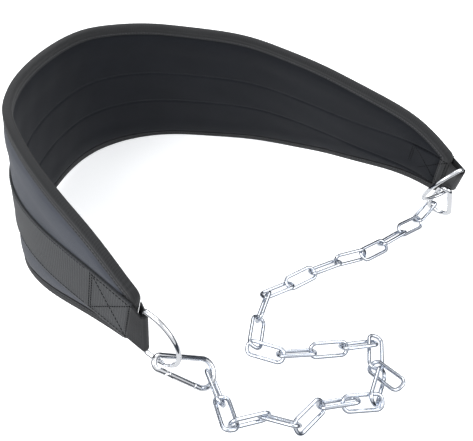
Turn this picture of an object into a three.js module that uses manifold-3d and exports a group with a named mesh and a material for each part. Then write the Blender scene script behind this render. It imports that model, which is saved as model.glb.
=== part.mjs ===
// A dip belt: a padded waist belt whose two D-rings and spring snaps carry a loading chain.
// It lies as it is put down: the belt stands on its lower edge, open at the front, and the chain
// lies on the surface between the two ends. Millimetres, +Z up, origin on the surface under the
// middle of the whole.
import * as THREE from 'three';
import { mergeVertices } from 'three/addons/utils/BufferGeometryUtils.js';
import Module from 'manifold-3d';

const wasm = await Module();
wasm.setup();

// Belt
const BELT_LENGTH = 800;
const BACK_WIDTH = 180;
const WEBBING_WIDTH = 50;
const TIP_MARGIN = 2.8;
const TIP_WIDTH = WEBBING_WIDTH + 2 * TIP_MARGIN;
const PANEL_THICKNESS = 8;
const PANEL_EDGE_THICKNESS = 3;
const EDGE_ROUNDING = 1.5;
const CROWN_SLOPE = 4;
const BINDING_WIDTH = 10.5;
const BINDING_THICKNESS = 0.8;
const BINDING_CHAMFER = 1.3;
const BOUND_THICKNESS = 7.4;
const WEBBING_THICKNESS = 1.5;
const CLEARANCE = 0.3;
const PANEL_PLAY = 0.4;
const PANEL_THIN = BOUND_THICKNESS / 2 - BINDING_THICKNESS - CLEARANCE;
const BAND_SHARE = 0.85;

// D-rings and loops
const RING_WIRE = 4;
const RING_INNER_WIDTH = 52;
const RING_DEPTH = 36;
const RING_CORNER_RADIUS = 4;
const LOOP_SIDE_PLAY = 3;
const LOOP_LAP = 9;

// Spring snaps
const SNAP_WIRE = 5;
const SNAP_EYE_RADIUS = 5.5;
const SNAP_BOW_RADIUS = 12;
const SNAP_CENTRES = 42.5;
const GATE_PIVOT_ALONG = 11;
const GATE_NOSE_ALONG = 36.5;
const GATE_DIAMETER = 4.6;
const TONGUE_THICKNESS = 2;
const PIN_DIAMETER = 1.8;
const GATE_END_GAP = 0.5;

// Chain
const LINK_WIRE = 3.5;
const LINK_PITCH = 30;
const LINK_WIDTH = 16;
const LINK_CORNER_RADIUS = 5.2;

// Steps of the faceted solids
const BELT_STEPS = 40;
const LINE_STEPS = 240;
const CORNER_STEPS = 3;
const BOW_STEPS = 12;
const WRAP_STEPS = 6;
const WIRE_SIDES = 8;
const LINK_SIDES = 6;

// Rows of the belt from its near tip to its far tip, evenly spaced along its middle line.
// heading: direction of the middle line in plan, degrees from +X
// lean: tilt of the width to the outer side, degrees
// rise: height of the middle line, share of BACK_WIDTH
// upper, lower: half widths, 0 at TIP_WIDTH and 1 at BACK_WIDTH
const SECTIONS = [
  { heading: 143.5, lean: -5.5, rise: 0.445, upper: 0.05, lower: 0.07 },
  { heading: 142.5, lean: -7.5, rise: 0.520, upper: 0.59, lower: 0.33 },
  { heading: 126.5, lean: -9.5, rise: 0.550, upper: 0.96, lower: 0.65 },
  { heading: 98.5, lean: -11.0, rise: 0.555, upper: 1.00, lower: 0.97 },
  { heading: 82.5, lean: -12.5, rise: 0.540, upper: 0.99, lower: 1.04 },
  { heading: 65.5, lean: -14.0, rise: 0.515, upper: 0.99, lower: 1.05 },
  { heading: 23.5, lean: -15.0, rise: 0.495, upper: 0.98, lower: 1.06 },
  { heading: -6.0, lean: -17.0, rise: 0.490, upper: 0.99, lower: 1.08 },
  { heading: -12.5, lean: -19.5, rise: 0.490, upper: 0.99, lower: 1.08 },
  { heading: -30.5, lean: -22.5, rise: 0.480, upper: 1.00, lower: 0.98 },
  { heading: -34.0, lean: -24.0, rise: 0.460, upper: 0.95, lower: 0.65 },
  { heading: -28.5, lean: -22.0, rise: 0.430, upper: 0.59, lower: 0.33 },
  { heading: -56.5, lean: -14.5, rise: 0.390, upper: 0.04, lower: 0.07 },
];

// Plan position of the middle of the belt in the layout that the chain table shares
const BELT_MIDDLE = new THREE.Vector2(-139, 173);

// Where each ring's bar lies from its belt tip (outwards, upwards, to the outer side), and how each
// ring and snap is turned: heading and dip of its length, roll of its width, all in degrees.
const ENDS = {
  near: {
    ringReach: 8.5, ringRise: -9.5, ringSide: -1.6,
    ringTurn: { heading: -36.7, dip: 3.8, roll: 4.3 },
    snapPlace: [-60.4, -164.7, 42.8],
    snapTurn: { heading: 9.7, dip: 40.6, roll: 69 },
  },
  far: {
    ringReach: 13.2, ringRise: 11.7, ringSide: -5.9,
    ringTurn: { heading: 197.2, dip: 22.7, roll: 23 },
    snapPlace: [217.5, 26.3, 54],
    snapTurn: { heading: 59.9, dip: 63.4, roll: -96.9 },
  },
};

// Chain route: the middle of each link, its heading, its tilt and the roll of its width
const CHAIN = [
  [-18, -168.4, 8.3, -68, 4, -66.5],
  [-8.5, -192, 12.2, -73, 16, -17],
  [10.3, -197.3, 11.4, 18.5, -11.5, 89],
  [33.7, -196.9, 9.9, -22, 15, -55.5],
  [58.5, -192.6, 7.7, 44, -6, 46.5],
  [83.5, -181, 6.6, 8.5, 1.5, -46],
  [103.4, -180.9, 6.7, 6, -4, 35.5],
  [118.4, -166.7, 7.8, 64.5, -4, 55],
  [126.8, -157.7, 8.6, 122.5, -21, -19],
  [123.7, -132.9, 4.3, 79, -2.5, 18.5],
  [108.8, -127.7, 7.6, -167.5, 8.5, 41.5],
  [81.7, -132.3, 7.7, -171.5, 5.5, -50],
  [52.9, -135.7, 6.9, -175, 2, 41.5],
  [25.6, -133.3, 5.7, 161.5, -0.5, -36.5],
  [18.5, -114.4, 7.8, 81, -5.5, 34.5],
  [25.6, -86.4, 7.9, 71.5, -1.5, -68.5],
  [40.2, -64.9, 4.8, 26.5, -1, -26.5],
  [64.8, -49.4, 4.6, 31, 0, 26.5],
  [90.9, -36.1, 5.6, 22, 3.5, -30],
  [117.9, -25.2, 7.9, 17.5, 0, 76.5],
  [144.8, -13.6, 6.4, 32.5, -3, 26.5],
  [168.2, 4.3, 6.3, 32.5, 2.5, -39],
  [191.7, 21.9, 6.6, 33, -4.5, 38.5],
  [212.5, 42.3, 9.2, 45.5, 11.5, -31],
];

// Helpers

const radians = THREE.MathUtils.degToRad;

function frameFromTurn({ heading, dip, roll }) {
  const h = radians(heading);
  const d = radians(dip);
  const r = radians(roll);
  const along = new THREE.Vector3(Math.cos(h) * Math.cos(d), Math.sin(h) * Math.cos(d), -Math.sin(d));
  const left = new THREE.Vector3(-Math.sin(h), Math.cos(h), 0);
  const top = new THREE.Vector3().crossVectors(along, left);
  const across = top.multiplyScalar(Math.cos(r)).addScaledVector(left, Math.sin(r));
  return new THREE.Matrix4().makeBasis(along, across, new THREE.Vector3().crossVectors(along, across));
}

// A closed surface through rings of points. Open lofts get a fan from the middle of each end.
function loft(rings, closed) {
  const count = rings[0].length;
  const vertices = rings.flat();
  const indices = [];
  const spans = closed ? rings.length : rings.length - 1;
  for (let i = 0; i < spans; i += 1) {
    const a = i * count;
    const b = ((i + 1) % rings.length) * count;
    for (let j = 0; j < count; j += 1) {
      const k = (j + 1) % count;
      indices.push(a + j, a + k, b + k, a + j, b + k, b + j);
    }
  }
  if (!closed) {
    const last = (rings.length - 1) * count;
    const firstMiddle = vertices.length;
    const lastMiddle = firstMiddle + 1;
    vertices.push(middleOf(rings[0]), middleOf(rings[rings.length - 1]));
    for (let j = 0; j < count; j += 1) {
      const k = (j + 1) % count;
      indices.push(firstMiddle, k, j, lastMiddle, last + j, last + k);
    }
  }
  const geometry = new THREE.BufferGeometry().setFromPoints(vertices);
  geometry.setIndex(indices);
  if (signedVolume(geometry) < 0) {
    geometry.setIndex(indices.reverse());
  }
  return geometry;
}

function middleOf(points) {
  const sum = points.reduce((total, point) => total.add(point), new THREE.Vector3());
  return sum.divideScalar(points.length);
}

function signedVolume(geometry) {
  const place = geometry.attributes.position;
  const index = geometry.index.array;
  const [a, b, c] = [new THREE.Vector3(), new THREE.Vector3(), new THREE.Vector3()];
  let volume = 0;
  for (let i = 0; i < index.length; i += 3) {
    a.fromBufferAttribute(place, index[i]);
    b.fromBufferAttribute(place, index[i + 1]);
    c.fromBufferAttribute(place, index[i + 2]);
    volume += a.dot(b.cross(c)) / 6;
  }
  return volume;
}

// A round wire of the given diameter along a flat path in the local XY plane
function wireAlong(path, closed, diameter, sides) {
  const last = path.length - 1;
  const rings = path.map((point, i) => {
    const before = closed ? path[(i + last) % path.length] : path[Math.max(i - 1, 0)];
    const after = closed ? path[(i + 1) % path.length] : path[Math.min(i + 1, last)];
    const into = point.clone().sub(before);
    const out = after.clone().sub(point);
    const first = into.lengthSq() > 0 ? into.normalize() : out.clone().normalize();
    const second = out.lengthSq() > 0 ? out.normalize() : first.clone();
    const along = first.clone().add(second).normalize();
    const stretch = 1 / Math.max(along.dot(first), 0.5);
    const side = new THREE.Vector2(-along.y, along.x).multiplyScalar(stretch);
    return Array.from({ length: sides }, (_, j) => {
      const angle = ((j + 0.5) * 2 * Math.PI) / sides;
      const off = (Math.cos(angle) * diameter) / 2;
      return new THREE.Vector3(point.x + side.x * off, point.y + side.y * off, (Math.sin(angle) * diameter) / 2);
    });
  });
  return loft(rings, closed);
}

function arc(x, y, radius, from, to, steps) {
  return Array.from({ length: steps + 1 }, (_, i) => {
    const angle = from + ((to - from) * i) / steps;
    return new THREE.Vector2(x + radius * Math.cos(angle), y + radius * Math.sin(angle));
  });
}

function toSolid(geometry) {
  const plain = geometry.clone();
  plain.deleteAttribute('normal');
  plain.deleteAttribute('uv');
  const merged = mergeVertices(plain, 1e-5);
  return new wasm.Manifold(new wasm.Mesh({
    numProp: 3,
    vertProperties: new Float32Array(merged.attributes.position.array),
    triVerts: new Uint32Array(merged.index.array),
  }));
}

function fromSolid(solid) {
  const mesh = solid.getMesh();
  const geometry = new THREE.BufferGeometry();
  geometry.setAttribute('position', new THREE.BufferAttribute(mesh.vertProperties, 3));
  geometry.setIndex(new THREE.BufferAttribute(mesh.triVerts, 1));
  return geometry;
}

// Belt surface

// Catmull-Rom value of one column of SECTIONS at a share of the length
function column(name, share) {
  const values = SECTIONS.map((row) => row[name]);
  const spans = values.length - 1;
  const padded = [2 * values[0] - values[1], ...values, 2 * values[spans] - values[spans - 1]];
  const at = THREE.MathUtils.clamp(share, 0, 1) * spans;
  const i = Math.min(Math.floor(at), spans - 1);
  const t = at - i;
  const [a, b, c, d] = padded.slice(i, i + 4);
  const square = 2 * a - 5 * b + 4 * c - d;
  const cube = 3 * b - a - 3 * c + d;
  return 0.5 * (2 * b + (c - a) * t + square * t * t + cube * t * t * t);
}

// The stiff, flat stretch at each tip, a little longer than the binding is wide
const TIP_CORNER_RADIUS = BINDING_WIDTH + 0.5;
const TIP_ZONE = TIP_CORNER_RADIUS + 5;

function directionAt(s) {
  const flat = THREE.MathUtils.clamp(s, TIP_ZONE, BELT_LENGTH - TIP_ZONE);
  const share = flat / BELT_LENGTH;
  const heading = radians(column('heading', share));
  const lean = radians(column('lean', share));
  const small = 1 / LINE_STEPS;
  const climb = column('rise', share + small) - column('rise', share - small);
  const slope = Math.asin((climb * BACK_WIDTH) / (2 * small * BELT_LENGTH));
  const flatWay = new THREE.Vector3(Math.cos(heading), Math.sin(heading), 0);
  const side = new THREE.Vector3(-Math.sin(heading), Math.cos(heading), 0);
  const along = flatWay.clone().multiplyScalar(Math.cos(slope)).setZ(Math.sin(slope));
  const top = flatWay.clone().multiplyScalar(-Math.sin(slope)).setZ(Math.cos(slope));
  const up = side.clone().multiplyScalar(Math.sin(lean)).addScaledVector(top, Math.cos(lean));
  const out = side.clone().multiplyScalar(Math.cos(lean)).addScaledVector(top, -Math.sin(lean));
  return { along, up, out };
}

function middleLine() {
  const step = BELT_LENGTH / LINE_STEPS;
  const points = [new THREE.Vector3()];
  for (let i = 0; i < LINE_STEPS; i += 1) {
    const { along } = directionAt((i + 0.5) * step);
    points.push(points[i].clone().addScaledVector(along, step));
  }
  const shift = new THREE.Vector3(BELT_MIDDLE.x, BELT_MIDDLE.y, column('rise', 0.5) * BACK_WIDTH);
  shift.sub(points[LINE_STEPS / 2]);
  return points.map((point) => point.add(shift));
}

const MIDDLE_LINE = middleLine();

// A point of the belt: s along it, q up across it, o towards its outer side
function beltPoint(s, q, o) {
  const at = (THREE.MathUtils.clamp(s, 0, BELT_LENGTH) / BELT_LENGTH) * LINE_STEPS;
  const i = Math.min(Math.floor(at), LINE_STEPS - 1);
  const point = MIDDLE_LINE[i].clone().lerp(MIDDLE_LINE[i + 1], at - i);
  const { up, out } = directionAt(s);
  return point.addScaledVector(up, q).addScaledVector(out, o);
}

// Half width above (side 1) or below (side -1) the middle line, straight within the tip zones
function halfWidth(s, side) {
  const name = side > 0 ? 'upper' : 'lower';
  const width = (at) => TIP_WIDTH / 2 + (column(name, at / BELT_LENGTH) * (BACK_WIDTH - TIP_WIDTH)) / 2;
  const end = s < BELT_LENGTH / 2 ? 0 : BELT_LENGTH;
  const fromTip = Math.abs(s - end);
  if (fromTip >= TIP_ZONE) {
    return width(s);
  }
  const inner = width(Math.abs(end - TIP_ZONE));
  return THREE.MathUtils.lerp(width(end), inner, fromTip / TIP_ZONE);
}

function edgeSlope(s, side) {
  const small = 1;
  return (halfWidth(s + small, side) - halfWidth(s - small, side)) / (2 * small);
}

// The rounded corner between a long edge and a tip, in distance from the tip and half width
function tipCorner(end, side) {
  const tip = end === 'near' ? 0 : BELT_LENGTH;
  const inner = end === 'near' ? TIP_ZONE : BELT_LENGTH - TIP_ZONE;
  const slope = (halfWidth(inner, side) - halfWidth(tip, side)) / TIP_ZONE;
  const angle = Math.atan(slope);
  const radius = TIP_CORNER_RADIUS;
  const height = halfWidth(tip, side) + slope * radius - radius / Math.cos(angle);
  return { tip, way: end === 'near' ? 1 : -1, angle, radius, height };
}

// Half width of the outline moved in by an inset, at distance from the tip
function insetWidth(end, side, fromTip, inset) {
  const corner = tipCorner(end, side);
  const radius = corner.radius - inset;
  if (fromTip < corner.radius - radius * Math.sin(corner.angle)) {
    return corner.height + Math.sqrt(Math.max(radius ** 2 - (fromTip - corner.radius) ** 2, 0));
  }
  const s = corner.tip + corner.way * fromTip;
  return halfWidth(s, side) - inset / Math.cos(corner.angle);
}

const LONG_STATIONS = Array.from({ length: BELT_STEPS + 1 }, (_, i) => (
  TIP_ZONE + ((BELT_LENGTH - 2 * TIP_ZONE) * i) / BELT_STEPS
));

// A point of the belt, pushed up along its width where it would lie below the given level: the
// lower edge rests flat where it meets the surface
function settledPoint(s, q, o, level) {
  const point = beltPoint(s, q, o);
  if (point.z >= level) {
    return point;
  }
  const { up } = directionAt(s);
  return point.addScaledVector(up, (level - point.z) / up.z).setZ(level);
}

// Belt pieces

// One cross section of the panel: thin under the binding, padded inside it. Each side is given by
// its half width and by how far the slant of its long edge stretches what is measured square to it.
function panelSection(s, upper, lower, thick) {
  const edge = PANEL_EDGE_THICKNESS / 2;
  const steps = [
    [0, edge], [EDGE_ROUNDING, PANEL_THIN], [BINDING_WIDTH, PANEL_THIN], [BINDING_WIDTH + CROWN_SLOPE, thick],
  ];
  const face = (sign, middles) => {
    const top = steps.map(([r, o]) => [upper.half - r * upper.stretch, sign * o]);
    const bottom = steps.map(([r, o]) => [-lower.half + r * lower.stretch, sign * o]).reverse();
    return [...top, ...middles.map((q) => [q, sign * thick]), ...bottom];
  };
  const bandEdge = ({ half, stretch }) => {
    const crown = half - (BINDING_WIDTH + CROWN_SLOPE) * stretch;
    return Math.min(WEBBING_WIDTH / 2, BAND_SHARE * crown);
  };
  const outline = [...face(1, [bandEdge(upper), -bandEdge(lower)]), ...face(-1, []).reverse()];
  const level = BINDING_THICKNESS + 3 * PANEL_PLAY;
  return outline.map(([q, o]) => settledPoint(s, q, o, level));
}

function panelGeometry() {
  const inset = BINDING_THICKNESS + PANEL_PLAY;
  const depth = BINDING_WIDTH + PANEL_PLAY;
  const tipRows = (end) => [0, 0.1, 0.3, 0.6, 1].map((share) => {
    const fromTip = inset + share * depth;
    const side = (way) => ({ half: insetWidth(end, way, fromTip, inset), stretch: 1 });
    return panelSection(end === 'near' ? fromTip : BELT_LENGTH - fromTip, side(1), side(-1), PANEL_THIN);
  });
  const longRows = LONG_STATIONS.map((s) => {
    const side = (way) => {
      const stretch = Math.hypot(1, edgeSlope(s, way));
      return { half: halfWidth(s, way) - inset * stretch, stretch };
    };
    return panelSection(s, side(1), side(-1), PANEL_THICKNESS / 2);
  });
  return loft([...tipRows('near'), ...longRows, ...tipRows('far').reverse()], false);
}

// One U-shaped cross section of the binding: depth runs inwards from the edge of the belt
function bindingSection(place) {
  const outer = BOUND_THICKNESS / 2;
  const inner = outer - BINDING_THICKNESS;
  const skin = [
    [BINDING_WIDTH, outer], [BINDING_CHAMFER, outer], [0, outer - BINDING_CHAMFER],
    [0, BINDING_CHAMFER - outer], [BINDING_CHAMFER, -outer], [BINDING_WIDTH, -outer],
  ];
  const lining = [
    [BINDING_WIDTH, -inner], [BINDING_THICKNESS, -inner],
    [BINDING_THICKNESS, inner], [BINDING_WIDTH, inner],
  ];
  const outside = skin.map(([depth, o]) => place(depth, o, 0));
  const inside = lining.map(([depth, o]) => place(depth, o, BINDING_THICKNESS));
  return [...outside, ...inside];
}

function bindingGeometry() {
  const longEdge = (side) => LONG_STATIONS.map((s) => {
    const stretch = Math.hypot(1, edgeSlope(s, side));
    const width = halfWidth(s, side);
    return bindingSection((depth, o, level) => (
      settledPoint(s, side * (width - depth * stretch), o, level)
    ));
  });
  const corner = (end, side) => {
    const { tip, way, angle, radius, height } = tipCorner(end, side);
    return Array.from({ length: CORNER_STEPS + 1 }, (_, i) => {
      const turn = angle + ((Math.PI / 2 - angle) * i) / CORNER_STEPS;
      return bindingSection((depth, o) => {
        const reach = radius - depth;
        const fromTip = radius - reach * Math.sin(turn);
        return beltPoint(tip + way * fromTip, side * (height + reach * Math.cos(turn)), o);
      });
    });
  };
  return loft([
    ...longEdge(-1), ...corner('far', -1), ...corner('far', 1).reverse(),
    ...longEdge(1).reverse(), ...corner('near', 1), ...corner('near', -1).reverse(),
  ], true);
}

function webbingGeometry() {
  const low = PANEL_THICKNESS / 2 + CLEARANCE;
  const high = low + WEBBING_THICKNESS;
  const half = WEBBING_WIDTH / 2;
  const start = LOOP_LAP + CLEARANCE;
  const stations = [start, ...LONG_STATIONS, BELT_LENGTH - start];
  return loft(stations.map((s) => [
    beltPoint(s, half, low), beltPoint(s, -half, low), beltPoint(s, -half, high), beltPoint(s, half, high),
  ]), false);
}

// Ring, loop and snap of one end

function tipFrame(end) {
  const s = end === 'near' ? 0 : BELT_LENGTH;
  const { along, up, out } = directionAt(s);
  return { point: beltPoint(s, 0, 0), away: along.multiplyScalar(end === 'near' ? -1 : 1), up, out };
}

function ringPlace(end) {
  const { point, away, up, out } = tipFrame(end);
  const { ringReach, ringRise, ringSide } = ENDS[end];
  return point.addScaledVector(away, ringReach).addScaledVector(up, ringRise).addScaledVector(out, ringSide);
}

// The D-ring: its bar lies along local Y at the origin and its bow points along +X
function ringGeometry() {
  const half = (RING_INNER_WIDTH + RING_WIRE) / 2;
  const corner = RING_CORNER_RADIUS;
  const right = Math.PI / 2;
  const path = [
    ...arc(corner, -half + corner, corner, -2 * right, -right, CORNER_STEPS),
    ...arc(RING_DEPTH - half, 0, half, -right, right, BOW_STEPS),
    ...arc(corner, half - corner, corner, right, 2 * right, CORNER_STEPS),
  ];
  return wireAlong(path, true, RING_WIRE, WIRE_SIDES);
}

// The webbing leaves the outer face, wraps the ring's bar and comes back to the tip
function loopGeometry(end) {
  const { point, away, up, out } = tipFrame(end);
  const bar = ringPlace(end);
  const barWay = new THREE.Vector3().setFromMatrixColumn(frameFromTurn(ENDS[end].ringTurn), 1);
  const back = point.clone().sub(bar);
  back.addScaledVector(barWay, -back.dot(barWay)).normalize();
  const front = new THREE.Vector3().crossVectors(barWay, back);
  front.multiplyScalar(Math.sign(front.dot(out)));
  const radius = RING_WIRE / 2 + CLEARANCE + WEBBING_THICKNESS / 2;
  const face = PANEL_THICKNESS / 2 + CLEARANCE + WEBBING_THICKNESS / 2;
  const wrap = Array.from({ length: WRAP_STEPS + 1 }, (_, i) => {
    const angle = (Math.PI * i) / WRAP_STEPS;
    return bar.clone().addScaledVector(front, radius * Math.cos(angle)).addScaledVector(back, -radius * Math.sin(angle));
  });
  const lap = point.clone().addScaledVector(out, face);
  const start = lap.clone().addScaledVector(away, -LOOP_LAP);
  const butt = BOUND_THICKNESS / 2 - WEBBING_THICKNESS;
  const finish = point.clone().addScaledVector(away, CLEARANCE).addScaledVector(out, -butt);
  const line = [start, lap, ...wrap, finish];
  const turned = [0, 0.1, ...wrap.map(() => 1), 0];
  const half = (RING_INNER_WIDTH - 2 * LOOP_SIDE_PLAY) / 2;
  return loft(line.map((place, i) => {
    const across = up.clone().lerp(barWay, turned[i]).normalize();
    const along = line[Math.min(i + 1, line.length - 1)].clone().sub(line[Math.max(i - 1, 0)]);
    const thick = new THREE.Vector3().crossVectors(along, across).normalize().multiplyScalar(WEBBING_THICKNESS / 2);
    const wide = across.multiplyScalar(half);
    const corners = [[-1, -1], [1, -1], [1, 1], [-1, 1]];
    return corners.map(([a, b]) => place.clone().addScaledVector(wide, a).addScaledVector(thick, b));
  }), false);
}

// The snap lies in its local XY plane, its eye at the origin and its bow along +X. The gate closes
// the arm on the -Y side.
const ARM_ANGLE = Math.asin((SNAP_BOW_RADIUS - SNAP_EYE_RADIUS) / SNAP_CENTRES);
const ARM_START = new THREE.Vector2(
  -SNAP_EYE_RADIUS * Math.sin(ARM_ANGLE),
  -SNAP_EYE_RADIUS * Math.cos(ARM_ANGLE),
);
const ARM_WAY = new THREE.Vector2(Math.cos(ARM_ANGLE), -Math.sin(ARM_ANGLE));

function armPoint(distance) {
  return ARM_START.clone().addScaledVector(ARM_WAY, distance);
}

// A shape built along +X from the gate's pivot, put on the arm
function onArm(geometry) {
  const pivot = armPoint(GATE_PIVOT_ALONG);
  return geometry.rotateZ(-ARM_ANGLE).translate(pivot.x, pivot.y, 0);
}

function block(fromX, toX, fromY, toY, thickness) {
  const geometry = new THREE.BoxGeometry(toX - fromX, toY - fromY, thickness);
  return geometry.translate((fromX + toX) / 2, (fromY + toY) / 2, 0);
}

// A round bar along the local Z axis
function pin(diameter, length) {
  return new THREE.CylinderGeometry(diameter / 2, diameter / 2, length, 10).rotateX(Math.PI / 2);
}

const GATE_RADIUS = GATE_DIAMETER / 2;
const GATE_LENGTH = GATE_NOSE_ALONG - GATE_PIVOT_ALONG - GATE_END_GAP;
const EAR_REACH = GATE_RADIUS + 0.1;
const NOSE_REACH = 2.6;
const NOSE_THICKNESS = 1.6;

function snapBodyGeometry() {
  const quarter = Math.PI / 2;
  const stub = armPoint(GATE_PIVOT_ALONG - Math.hypot(EAR_REACH, GATE_RADIUS) - GATE_END_GAP);
  const path = [
    armPoint(GATE_NOSE_ALONG),
    ...arc(SNAP_CENTRES, 0, SNAP_BOW_RADIUS, -quarter - ARM_ANGLE, quarter + ARM_ANGLE, BOW_STEPS),
    ...arc(0, 0, SNAP_EYE_RADIUS, quarter + ARM_ANGLE, 3 * quarter - ARM_ANGLE, BOW_STEPS),
    stub,
  ];
  const wire = toSolid(wireAlong(path, false, SNAP_WIRE, WIRE_SIDES));
  const tongueReach = Math.hypot(EAR_REACH, GATE_RADIUS) + GATE_END_GAP + 1;
  const tongueHalf = GATE_RADIUS - 0.2;
  const tongue = onArm(block(-tongueReach, EAR_REACH, -tongueHalf, tongueHalf, TONGUE_THICKNESS));
  const rivet = onArm(pin(PIN_DIAMETER, GATE_DIAMETER - 0.4));
  const noseStart = GATE_NOSE_ALONG - GATE_PIVOT_ALONG;
  const nose = onArm(block(noseStart - NOSE_REACH, noseStart + 1, -tongueHalf, 0, NOSE_THICKNESS));
  return fromSolid(wire.add(toSolid(tongue)).add(toSolid(rivet)).add(toSolid(nose)));
}

function gateGeometry() {
  const length = GATE_LENGTH + EAR_REACH;
  const bar = new THREE.CylinderGeometry(GATE_RADIUS, GATE_RADIUS, length, 12).rotateZ(-Math.PI / 2);
  bar.translate(length / 2 - EAR_REACH, 0, 0);
  const wide = GATE_DIAMETER;
  const forkEnd = Math.hypot(EAR_REACH, GATE_RADIUS) + CLEARANCE;
  const fork = block(-wide, forkEnd, -wide, wide, TONGUE_THICKNESS + 2 * CLEARANCE);
  const hole = pin(PIN_DIAMETER + 2 * CLEARANCE, 2 * wide);
  const notchStart = GATE_LENGTH + GATE_END_GAP - NOSE_REACH - 2 * CLEARANCE;
  const notch = block(notchStart, GATE_LENGTH + 1, -wide, CLEARANCE, NOSE_THICKNESS + 2 * CLEARANCE);
  const cut = toSolid(bar).subtract(toSolid(fork)).subtract(toSolid(hole)).subtract(toSolid(notch));
  return onArm(fromSolid(cut));
}

// Chain

function linkGeometry() {
  const length = (LINK_PITCH + LINK_WIRE) / 2;
  const half = (LINK_WIDTH - LINK_WIRE) / 2;
  const r = LINK_CORNER_RADIUS;
  const right = Math.PI / 2;
  const path = [
    ...arc(length - r, half - r, r, 0, right, CORNER_STEPS),
    ...arc(-length + r, half - r, r, right, 2 * right, CORNER_STEPS),
    ...arc(-length + r, -half + r, r, 2 * right, 3 * right, CORNER_STEPS),
    ...arc(length - r, -half + r, r, 3 * right, 4 * right, CORNER_STEPS),
  ];
  return wireAlong(path, true, LINK_WIRE, LINK_SIDES);
}

function linkFrame([x, y, z, heading, tilt, roll]) {
  const h = radians(heading);
  const t = radians(tilt);
  const r = radians(roll);
  const along = new THREE.Vector3(Math.cos(h) * Math.cos(t), Math.sin(h) * Math.cos(t), Math.sin(t));
  const left = new THREE.Vector3(-Math.sin(h), Math.cos(h), 0);
  const top = new THREE.Vector3().crossVectors(along, left);
  const across = left.multiplyScalar(Math.cos(r)).addScaledVector(top, Math.sin(r));
  const frame = new THREE.Matrix4().makeBasis(along, across, new THREE.Vector3().crossVectors(along, across));
  return frame.setPosition(x, y, z);
}

// Materials

function material(color, roughness, metalness) {
  return new THREE.MeshStandardMaterial({ color, roughness, metalness });
}

const panelFabric = material(0x5f6469, 0.9, 0);
const bindingFabric = material(0x3f3e3d, 0.85, 0);
const webbingFabric = material(0x4b4c4e, 0.85, 0);
const loopFabric = material(0x3c3d40, 0.75, 0);
const chrome = material(0xd5d7da, 0.12, 1);
const gateSteel = material(0xc4c6c9, 0.2, 1);
const chainSteel = material(0xc9ccd1, 0.3, 1);

// Assembly

const belt = new THREE.Group();
belt.name = 'dip_belt';

function add(name, geometry, finish, frame) {
  const mesh = new THREE.Mesh(geometry, finish);
  mesh.name = name;
  if (frame) {
    frame.decompose(mesh.position, mesh.quaternion, mesh.scale);
  }
  belt.add(mesh);
}

add('belt_panel', panelGeometry(), panelFabric);
add('edge_binding', bindingGeometry(), bindingFabric);
add('outer_webbing', webbingGeometry(), webbingFabric);

for (const [end, { ringTurn, snapPlace, snapTurn }] of Object.entries(ENDS)) {
  const ringFrame = frameFromTurn(ringTurn).setPosition(ringPlace(end));
  const snapFrame = frameFromTurn(snapTurn).setPosition(...snapPlace);
  add(`${end}_loop`, loopGeometry(end), loopFabric);
  add(`${end}_d_ring`, ringGeometry(), chrome, ringFrame);
  add(`${end}_snap_body`, snapBodyGeometry(), chrome, snapFrame);
  add(`${end}_snap_gate`, gateGeometry(), gateSteel, snapFrame);
}

CHAIN.forEach((row, i) => {
  const name = `chain_link_${String(i + 1).padStart(2, '0')}`;
  add(name, linkGeometry(), chainSteel, linkFrame(row));
});

// The origin goes under the middle of the whole, on the surface it rests on
belt.updateMatrixWorld(true);
const box = new THREE.Box3().setFromObject(belt, true);
const centre = box.getCenter(new THREE.Vector3());
belt.position.set(-centre.x, -centre.y, -box.min.z);

export default belt;
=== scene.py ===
# %% [markdown]
# A dip belt: a padded waist belt with two D-rings, two spring snaps and a loading chain. The packed
# solids are the frame, so every visible piece is made in metres, in the same place as its solid.
# The belt is one curved strip, and the fine pieces all follow the same surface as its solid does.

# %% Load the frame
import bpy
import math
from mathutils import Matrix, Vector


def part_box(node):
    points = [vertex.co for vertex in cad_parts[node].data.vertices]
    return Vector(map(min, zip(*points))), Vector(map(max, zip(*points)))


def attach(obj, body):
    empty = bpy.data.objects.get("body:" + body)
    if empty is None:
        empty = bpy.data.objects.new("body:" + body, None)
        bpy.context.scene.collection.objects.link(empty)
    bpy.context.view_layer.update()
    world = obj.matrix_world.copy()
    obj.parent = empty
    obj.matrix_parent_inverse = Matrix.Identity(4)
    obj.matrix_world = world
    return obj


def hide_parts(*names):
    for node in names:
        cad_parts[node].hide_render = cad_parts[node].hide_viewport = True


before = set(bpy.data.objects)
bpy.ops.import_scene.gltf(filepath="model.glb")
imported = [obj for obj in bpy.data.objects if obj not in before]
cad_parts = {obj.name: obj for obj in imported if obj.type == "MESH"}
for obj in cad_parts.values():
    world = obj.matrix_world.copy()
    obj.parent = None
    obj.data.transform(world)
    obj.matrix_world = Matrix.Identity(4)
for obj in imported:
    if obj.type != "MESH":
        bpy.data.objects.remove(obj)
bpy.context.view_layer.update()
MM = 0.001
print("frame", len(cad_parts), "nodes")

# %% [markdown]
# The belt's real sizes come first. The table gives its shape as it lies: where each part of the
# middle line heads, how it leans, how high it runs and how wide it is. Curves between the rows make
# it smooth.

# %% Belt sizes and sections
BELT_LENGTH = 800 * MM
BACK_WIDTH = 180 * MM
WEBBING_WIDTH = 50 * MM
TIP_WIDTH = WEBBING_WIDTH + 2 * 2.8 * MM
BINDING_WIDTH = 10.5 * MM
BINDING_THICKNESS = 0.8 * MM
BOUND_THICKNESS = 7.4 * MM
PANEL_THICKNESS = 8 * MM
WEBBING_THICKNESS = 1.5 * MM
CLEARANCE = 0.3 * MM
TIP_CORNER_RADIUS = BINDING_WIDTH + 0.5 * MM
TIP_ZONE = TIP_CORNER_RADIUS + 5 * MM
LINE_STEPS = 240

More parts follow.
